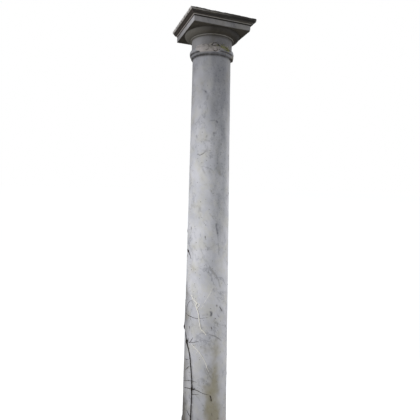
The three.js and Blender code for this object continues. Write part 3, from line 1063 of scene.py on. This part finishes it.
# %% Keep the marks on the shaft
# each mark with its colour and its strength, in the order in which the material lays them on
# Several marks are partly painted shade: the shade, the streak right of the middle, the grime in the
# hollows, and the stem's painted shadow in the dark patch mark
shaft_marks = [
    ("streak_and_shade", streak_and_shade, "#97999f", 0.85), ("veins", veins, "#8f8d8b", 0.8), ("shade", shade, "#84848a", 0.9),
    ("earth", earth, "#93885a", 0.74), ("dark_patch_and_stem_shadow", dark_patch_and_stem_shadow, "#5f5b53", 0.8), ("spots", spots, "#565860", 0.85),
    ("grime_and_shade", grime_and_shade, "#25211e", 0.9),
]
for name, values, _, _ in shaft_marks:
    layer = shaft.data.attributes.new(name, "FLOAT", "POINT")
    layer.data.foreach_set("value", np.clip(values, 0, 1).astype(np.float32))
print("marks painted on", count, "points")

# %% [markdown]
# ## Marble
# White marble with grey clouds and faint slanting veins, honed once and etched dull by rain. Its grains of
# calcite show as a soft sparkle close by, so the gloss is broad and weak. Layers go on as they did in
# life: the stone's own clouds and veins, then the weathered skin's warm and cold mottling, lichen specks,
# and last the painted marks, which on the shaft also hold painted shade.

# %% Weathered marble, common to the three stones
VEIN_TINT, SPECK_TINT = "#85868c", "#77766f"
CALCITE_IOR = 1.49


def marble_layers(tree, pale, grey, warm):
    """The stone's clouds and veins and its mottled skin. Returns the place, the colour and a fine grain."""
    place = add(tree, "ShaderNodeTexCoord").outputs["Object"]
    slant = add(tree, "ShaderNodeMapping", {
        "Vector": place, "Rotation": (0.0, -0.7, 0.3), "Scale": (1.0, 1.0, 2.4),
    }, vector_type="TEXTURE")
    # the layers' noises: place, size in mm, detail, roughness and distortion
    cloud, vein_noise, blot, ragged, grain = (
        add(tree, "ShaderNodeTexNoise", per_mm(where, size, Detail=detail, Roughness=rough, Distortion=bend))
        for where, size, detail, rough, bend in [
            (slant, 70, 7.0, 0.66, 0.3), (slant, 110, 6.0, 0.6, 0.35), (place, 60, 5.0, 0.6, 0.0),
            (place, 5, 3.0, 0.5, 0.0), (place, 2.4, 3.0, 0.7, 0.0),
        ]
    )
    body = add(tree, "ShaderNodeValToRGB", [cloud], stops=[(0.36, grey), (0.6, pale)])
    off = add(tree, "ShaderNodeMath", [vein_noise, 0.5], operation="SUBTRACT")
    gap = add(tree, "ShaderNodeMath", [off], operation="ABSOLUTE")
    thin = add(tree, "ShaderNodeMapRange", [gap, 0.0, 0.024, 0.6, 0.0])
    fading = add(tree, "ShaderNodeMapRange", [cloud, 0.6, 0.42])
    faint = add(tree, "ShaderNodeMath", [thin, fading], operation="MULTIPLY")
    veined = add(tree, "ShaderNodeMixRGB", [faint, body, VEIN_TINT])
    blotted = add(tree, "ShaderNodeMapRange", [blot, 0.46, 0.66, 0.0, 0.55])
    skin = add(tree, "ShaderNodeMixRGB", [blotted, veined, warm])
    cells = add(tree, "ShaderNodeTexVoronoi", per_mm(place, 21, Randomness=1.0))
    few = add(tree, "ShaderNodeSeparateColor", [cells.outputs["Color"]])
    spread = add(tree, "ShaderNodeMath", [ragged, 0.16, 0.06], operation="MULTIPLY_ADD")
    near = add(tree, "ShaderNodeMath", [cells, spread], operation="LESS_THAN")
    some = add(tree, "ShaderNodeMath", [few, 0.45], operation="LESS_THAN")
    speck = add(tree, "ShaderNodeMath", [near, some], operation="MULTIPLY")
    soft = add(tree, "ShaderNodeMath", [speck, 0.6], operation="MULTIPLY")
    return place, add(tree, "ShaderNodeMixRGB", [soft, skin, SPECK_TINT]), grain


def marble_finish(tree, place, colour, grain, bump):
    """Dull etched calcite: rough and slightly grainy, with pits of a few millimetres."""
    pits = add(tree, "ShaderNodeTexNoise", per_mm(place, 9, Detail=4.0, Roughness=0.6))
    rough = add(tree, "ShaderNodeMapRange", {"Value": pits, "To Min": 0.55, "To Max": 0.85})
    relief = add(tree, "ShaderNodeMath", [pits, 1.6, grain], operation="MULTIPLY_ADD")
    raised = add(tree, "ShaderNodeBump", {"Height": relief, "Distance": 0.0012, "Strength": bump})
    shader = add(tree, "ShaderNodeBsdfPrincipled", {
        "Base Color": colour, "Roughness": rough, "Normal": raised, "IOR": CALCITE_IOR,
    })
    add(tree, "ShaderNodeOutputMaterial", [shader])
    print("marble of", len(tree.nodes), "nodes")


# %% Shaft marble
shaft_material, tree = new_material("weathered_and_shaded_carrara_marble_shaft")
place, colour, grain = marble_layers(tree, "#d9d9dd", "#c6c7cc", "#d2d0c4")
# the marks go on in turn: weather marks, and with them painted shade under the capital, towards the foot,
# right of the middle and in the hollows at the neck, and the stem's painted shadow
for name, _, tint, strength in shaft_marks:
    amount = add(tree, "ShaderNodeAttribute", attribute_name=name).outputs["Fac"]
    weight = add(tree, "ShaderNodeMath", [amount, strength], operation="MULTIPLY")
    colour = add(tree, "ShaderNodeMixRGB", [weight, colour, tint])
# the streak is peppered with small dark dots
pepper = add(tree, "ShaderNodeTexNoise", per_mm(place, 9, Detail=3.0, Roughness=0.6))
dots = add(tree, "ShaderNodeMapRange", [pepper, 0.54, 0.66, 0.0, 0.7])
amount = add(tree, "ShaderNodeAttribute", attribute_name="streak_and_shade").outputs["Fac"]
peppered = add(tree, "ShaderNodeMath", [dots, amount], operation="MULTIPLY")
colour = add(tree, "ShaderNodeMixRGB", [peppered, colour, "#74767c"])
marble_finish(tree, place, colour, grain, 0.5)

# %% [markdown]
# ## Sooty and shaded marble of the capital
# Rain washes the faces that it reaches, and soot builds a dark brown crust where it doesn't: on the
# soffit, the echinus and the ogee. These faces turn down or lie in hollows, and their dark is soot and
# painted shade together. So the colour goes by height, with ragged borders, and the crown has short
# streaks where drips ran off its edge. Further layers are laid on by zone, each the product of a few fading
# bounds: among them painted shade on the faces turned down, on those turned to the front and on the
# echinus's right, and painted light on the faces turned left and on the left below the soffit.

# %% Soot and painted shade by height
SOOT_LIFT = 2.5  # makes up for the darkening where two greys are multiplied
capital_material, tree = new_material("sooted_and_shaded_carrara_marble_capital")
place, colour, grain = marble_layers(tree, "#b5b4b6", "#9a999a", "#8f8b7e")
axes = add(tree, "ShaderNodeSeparateXYZ", [place])
fray = add(tree, "ShaderNodeTexNoise", per_mm(place, 14, Detail=3.0))
shift = add(tree, "ShaderNodeMath", [fray, 0.0016, -0.0008], operation="MULTIPLY_ADD")
level = add(tree, "ShaderNodeMath", [axes.outputs["Z"], shift], operation="ADD")
band = add(tree, "ShaderNodeMapRange", [level, NECK_FOOT * MM, CROWN_TOP * MM])
# the dark bands at the neck's top, under and over the annulet, on the echinus and the soffit, in the quirk
# and on the ogee are soot and painted shade together, where faces turn down or lie in hollows
soot_and_shade_bands = [
    (NECK_FOOT, "#8b8a8b"), (2455.0, "#898889"), (2464.0, "#6a6967"), (2468.5, "#2e2c29"),
    (2470.5, "#8b8984"), (2474.2, "#8b8984"), (2476.0, "#2b2823"), (2478.5, "#2f2b26"), (2496.0, "#322e28"),
    (SOFFIT - 0.6, "#29261f"), (SOFFIT + 2.4, "#9b9a98"), (2510.0, "#a9a8a7"),
    (FASCIA_TOP - 4.2, "#a6a5a3"), (FASCIA_TOP - 1.9, "#25221e"), (FASCIA_TOP + 2.2, "#1b1815"),
    (FASCIA_TOP + 3.2, "#aaa7a2"), (REED_TOP - 0.6, "#aaa7a2"), (REED_TOP + 0.9, "#1b1815"),
    (OGEE_TOP - 1.2, "#191613"), (OGEE_TOP + 0.6, "#a19e99"), (OGEE_TOP + 6.8, "#8b8984"),
    (OGEE_TOP + 8.8, "#56534c"), (CROWN_TOP - 1.6, "#77746d"), (CROWN_TOP, "#a3a19a"),
]
soot_and_shade_ramp = add(tree, "ShaderNodeValToRGB", [band], stops=[
    ((height - NECK_FOOT) / (CROWN_TOP - NECK_FOOT), tint) for height, tint in soot_and_shade_bands
])
for tint in (soot_and_shade_ramp, (SOOT_LIFT, SOOT_LIFT, SOOT_LIFT, 1.0)):
    colour = add(tree, "ShaderNodeMixRGB", [1.0, colour, tint], blend_type="MULTIPLY")
print(len(soot_and_shade_bands), "soot bands")

# %% Zones of the capital
facing = add(tree, "ShaderNodeSeparateXYZ", [add(tree, "ShaderNodeNewGeometry").outputs["Normal"]])
drip = add(tree, "ShaderNodeMapping", {"Vector": place, "Scale": (1.0, 1.0, 0.12)})
drips = add(tree, "ShaderNodeTexNoise", per_mm(drip, 11, Detail=2.0, Roughness=0.7))
level_run = add(tree, "ShaderNodeMapping", {"Vector": place, "Scale": (0.1, 0.1, 1.0)})
runs = add(tree, "ShaderNodeTexNoise", per_mm(level_run, 4, Detail=3.0, Roughness=0.6))
# the name of each bound, what it goes by, where it starts and ends, and its value at both
places = [
    ("painted_light_side", "X", -140, -50, 0.5, 0.0), ("soot_and_shade_side", "X", -40, 120, 0.0, 0.75),
    ("far_side", "X", -80, 60, 0.0, 0.92), ("far_end", "Y", -100, 160, 0.0, 0.6),
    ("left_edge", "X", 7.0 - CROWN_HALF, 4.0 - CROWN_HALF, 0.0, 1.0),
    ("left_reed", "X", -FASCIA_HALF - 1.2, -FASCIA_HALF - 2.2, 0.0, 1.0),
    ("below_annulet", "Z", 2462, 2468, 1.0, 0.0), ("above_annulet", "Z", 2477, 2479, 0.0, 1.0),
    ("below_soffit", "Z", 2498.5, 2501.5, 1.0, 0.0),
    ("above_soffit", "Z", SOFFIT + 0.2, SOFFIT + 1.2, 0.0, 1.0),
    ("below_quirk", "Z", FASCIA_TOP - 1.8, FASCIA_TOP - 1.2, 1.0, 0.0),
    ("above_fascia", "Z", FASCIA_TOP - 0.4, FASCIA_TOP - 0.1, 0.0, 1.0),
    ("below_reed_top", "Z", REED_TOP - 3.6, REED_TOP - 2.8, 1.0, 0.0),
    ("above_reed", "Z", REED_TOP - 0.4, REED_TOP + 0.8, 0.0, 1.0),
    ("above_ogee", "Z", OGEE_TOP - 4.5, OGEE_TOP - 3.0, 0.0, 1.0),
    ("below_top", "Z", CROWN_TOP - 2.6, CROWN_TOP - 1.4, 1.0, 0.0),
]
bounds = [
    ("facing_down", facing.outputs["Z"], -0.6, -0.92, 0.0, 0.96),
    ("facing_left", facing.outputs["X"], -0.3, -0.8, 0.0, 1.0),
    ("facing_front", facing.outputs["Y"], -0.4, -0.8, 0.0, 1.0),
    ("off_top", facing.outputs["Z"], 0.4, 0.8, 1.0, 0.25),
    ("tufts", drips, 0.53, 0.59, 0.0, 0.85), ("dark_runs", runs, 0.5, 0.6, 0.0, 0.75),
]
for name, axis, start, end, low, high in places:
    bounds.append((name, axes.outputs[axis], start * MM, end * MM, low, high))
zone = {name: add(tree, "ShaderNodeMapRange", span) for name, *span in bounds}
on_left = add(tree, "ShaderNodeMath", [zone["left_edge"], zone["above_ogee"]], operation="MULTIPLY")
zone["off_left"] = add(tree, "ShaderNodeMath", [1.0, on_left], operation="SUBTRACT")
print(len(zone), "zones")

# %% Layers of the capital
# soot and painted shade on the faces that turn down
underside_soot_and_shade = add(tree, "ShaderNodeValToRGB", [fray], stops=[(0.3, "#2a261f"), (0.7, "#423d32")])
long_run = add(tree, "ShaderNodeMapping", {"Vector": place, "Scale": (0.03, 0.03, 1.0)})
bands = add(tree, "ShaderNodeTexNoise", per_mm(long_run, 5, Detail=2.0))
soot_runs = add(tree, "ShaderNodeValToRGB", [bands], stops=[
    (0.34, "#605c55"), (0.44, "#35322c"), (0.54, "#201d19"), (0.64, "#151210"),
])
# each layer's colour and the bounds and strengths that are multiplied to its weight
for tint, *factors in [
    # the faces turned down get soot and painted shade, and the left part below the soffit is painted lighter
    # as painted light
    (underside_soot_and_shade, "facing_down"), ("#8a877f", "painted_light_side", "below_soffit"),
    # the echinus grows darker towards the right: painted shade with soot
    ("#1f1c18", "soot_and_shade_side", "above_annulet", "below_soffit"),
    # painted light on the faces turned left and painted shade on the faces turned to the front, on the neck
    # and the fascia, and a lighter mauve-brown as painted light on the left faces above the reed
    ("#cfced3", "facing_left", "below_annulet", 0.26),
    ("#e9e8ec", "facing_left", "above_soffit", "below_quirk", 0.4),
    ("#5d5c5a", "facing_front", "below_annulet", 0.24),
    ("#5a5957", "facing_front", "above_soffit", "below_quirk", 0.22),
    ("#5f5350", "facing_left", "above_reed", 0.55),
    ("#b3a9a5", "left_reed", "above_fascia", "below_reed_top", 0.85),
    ("#dcd7d3", "left_edge", "above_ogee", 0.95),
    ("#6b6461", "facing_left", "above_soffit", "below_quirk", "far_end"),
    ("#3b3630", "tufts", "left_edge", "above_ogee"),
    ("#2a2622", "dark_runs", "above_reed", "off_left", "off_top"),
    (soot_runs, "far_side", "above_reed", "below_top"),
]:
    weight = zone[factors[0]]
    for factor in factors[1:]:
        weight = add(tree, "ShaderNodeMath", [weight, zone.get(factor, factor)], operation="MULTIPLY")
    colour = add(tree, "ShaderNodeMixRGB", [weight, colour, tint])
marble_finish(tree, place, colour, grain, 0.7)

# %% [markdown]
# ## Marble of the base
# Splashed earth and green algae climb from the ground, thickest on the plinth and in the hollow under the
# torus.

# %% Base marble
base_material, tree = new_material("soil_splashed_marble_base")
place, colour, grain = marble_layers(tree, "#c9c8c6", "#aaa9a6", "#a39f8d")
axes = add(tree, "ShaderNodeSeparateXYZ", [place])
splash = add(tree, "ShaderNodeTexNoise", per_mm(place, 38, Detail=5.0, Roughness=0.7))
splashed = add(tree, "ShaderNodeMath", [splash, 0.16, axes.outputs["Z"]], operation="MULTIPLY_ADD")
soil = add(tree, "ShaderNodeMapRange", [splashed, 0.07, 0.175, 0.85, 0.12])
earthy = add(tree, "ShaderNodeMixRGB", [soil, colour, "#6d6453"])
green = add(tree, "ShaderNodeTexNoise", per_mm(place, 60, Detail=6.0, Roughness=0.75))
algae = add(tree, "ShaderNodeMapRange", [green, 0.52, 0.66, 0.0, 0.65])
greened = add(tree, "ShaderNodeMixRGB", [algae, earthy, "#5f6444"])
marble_finish(tree, place, greened, grain, 0.8)

# %% [markdown]
# ## Dead wood, rootlets, lichen, crust and moss
# Small things with plain recipes: furrowed grey-brown bark, dry pale root fibre, black crusty lichen,
# chalky lime with rosettes of pale lichen on it, and moss, which is bright at its tips and brown between
# them.

# %% Small growths


def growth(name, size, stops, roughness, bump, stretch=1.0, detail=4.0, depth=0.001):
    """A dull growth whose colour and relief, depth m deep, go by a noise of size mm."""
    material, tree = new_material(name)
    place = add(tree, "ShaderNodeTexCoord").outputs["Object"]
    pulled = add(tree, "ShaderNodeMapping", {"Vector": place, "Scale": (1.0, 1.0, stretch)})
    speckle = add(tree, "ShaderNodeTexNoise", per_mm(pulled, size, Detail=detail, Roughness=0.7))
    tint = add(tree, "ShaderNodeValToRGB", [speckle], stops=stops)
    relief = add(tree, "ShaderNodeBump", {"Height": speckle, "Distance": depth, "Strength": bump})
    shader = add(tree, "ShaderNodeBsdfPrincipled", {
        "Base Color": tint, "Roughness": roughness, "Normal": relief,
    })
    add(tree, "ShaderNodeOutputMaterial", [shader])
    print(name, "of", len(tree.nodes), "nodes")
    return material


bark_stops = [(0.3, "#120d0a"), (0.5, "#241c17"), (0.7, "#40352d")]
moss_stops = [(0.4, "#2a2716"), (0.49, "#6c6b40"), (0.58, "#bdbd8c")]
bark_material = growth("dry_climber_bark", 2.2, bark_stops, 0.9, 0.9, 0.18, 5.0, 0.0015)
tendril_material = growth("dead_tendril_fibre", 3, [(0.3, "#221a15"), (0.7, "#43362c")], 0.85, 0.6, 0.3)
rootlet_material = growth("dried_root_fibre", 3, [(0.3, "#f2eee2"), (0.7, "#fffdf6")], 0.85, 0.5, 0.3)
mark_material = growth("black_crustose_lichen", 4, [(0.3, "#4a463f"), (0.7, "#7c776c")], 0.95, 0.8)
moss_material = growth("cushion_moss", 2.5, moss_stops, 0.95, 1.0)

# %% Lime crust with rosettes
crust_material, tree = new_material("hardened_lime_crust")
place = add(tree, "ShaderNodeTexCoord").outputs["Object"]
chalk = add(tree, "ShaderNodeTexNoise", per_mm(place, 11, Detail=6.0, Roughness=0.7))
chalky = add(tree, "ShaderNodeValToRGB", [chalk], stops=[
    (0.32, "#7d7772"), (0.5, "#9b9591"), (0.68, "#b8b1ad"),
])
cells = add(tree, "ShaderNodeTexVoronoi", per_mm(place, 17))
rosette = add(tree, "ShaderNodeValToRGB", [cells], stops=[
    (0.0, "#a8a49a"), (0.26, "#b7b2aa"), (0.34, "#6b675c"), (0.42, "#9c9890"), (1.0, "#9c9890"),
])
few = add(tree, "ShaderNodeSeparateColor", [cells.outputs["Color"]])
some = add(tree, "ShaderNodeMath", [few, 0.5], operation="LESS_THAN")
weight = add(tree, "ShaderNodeMath", [some, 0.6], operation="MULTIPLY")
crusted = add(tree, "ShaderNodeMixRGB", [weight, chalky, rosette])
axes = add(tree, "ShaderNodeSeparateXYZ", [place])
left_end = add(tree, "ShaderNodeMapRange", [axes.outputs["X"], -0.045, -0.1, 0.0, 0.55])
paler = add(tree, "ShaderNodeMixRGB", [left_end, crusted, "#cdc6c4"])
# the seam attribute holds the dark seams and the painted shadow lines
seam_and_shadow = add(tree, "ShaderNodeAttribute", attribute_name="seam_and_shadow").outputs["Fac"]
seamed_and_shaded = add(tree, "ShaderNodeMixRGB", [seam_and_shadow, paler, "#1e1a14"])
relief = add(tree, "ShaderNodeBump", {"Height": chalk, "Distance": 0.002, "Strength": 0.8})
shader = add(tree, "ShaderNodeBsdfPrincipled", {"Base Color": seamed_and_shaded, "Roughness": 0.92, "Normal": relief})
add(tree, "ShaderNodeOutputMaterial", [shader])
print("lime crust of", len(tree.nodes), "nodes")

# %% [markdown]
# ## Handing the pieces to the model
# Each piece gets its material and the body it rides on, and the CAD node it stands for is hidden. The column
# has one body, so all ride on root.

# %% Finish the pieces


def finish_piece(piece, material, slot, *nodes):
    """Gives a piece its material, its body and the nodes that it stands for; the slot is not used."""
    piece.data.materials.clear()
    piece.data.materials.append(material)
    if nodes:
        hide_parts(*nodes)
    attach(piece, "root")
    print(piece.name, len(piece.data.polygons), "faces")


finish_piece(shaft, shaft_material, "shaft_marble", "shaft")
finish_piece(capital, capital_material, "capital_marble", "capital")
finish_piece(base, base_material, "base_marble", "base")
finish_piece(climber, bark_material, "dead_wood", "climber_stem")
finish_piece(tendrils, tendril_material, "dead_wood")
finish_piece(rootlets, rootlet_material, "dead_wood")
finish_piece(marks, mark_material, "shaft_marble")
finish_piece(crust, crust_material, "capital_marble")
finish_piece(moss, moss_material, "capital_marble")

# %% Sizes for the record
visual_low, visual_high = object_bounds()
sizes = {"cad": [list(cad_low), list(cad_high)], "visual": [list(visual_low), list(visual_high)]}
print("visual box", [round(v, 4) for v in visual_low], [round(v, 4) for v in visual_high])
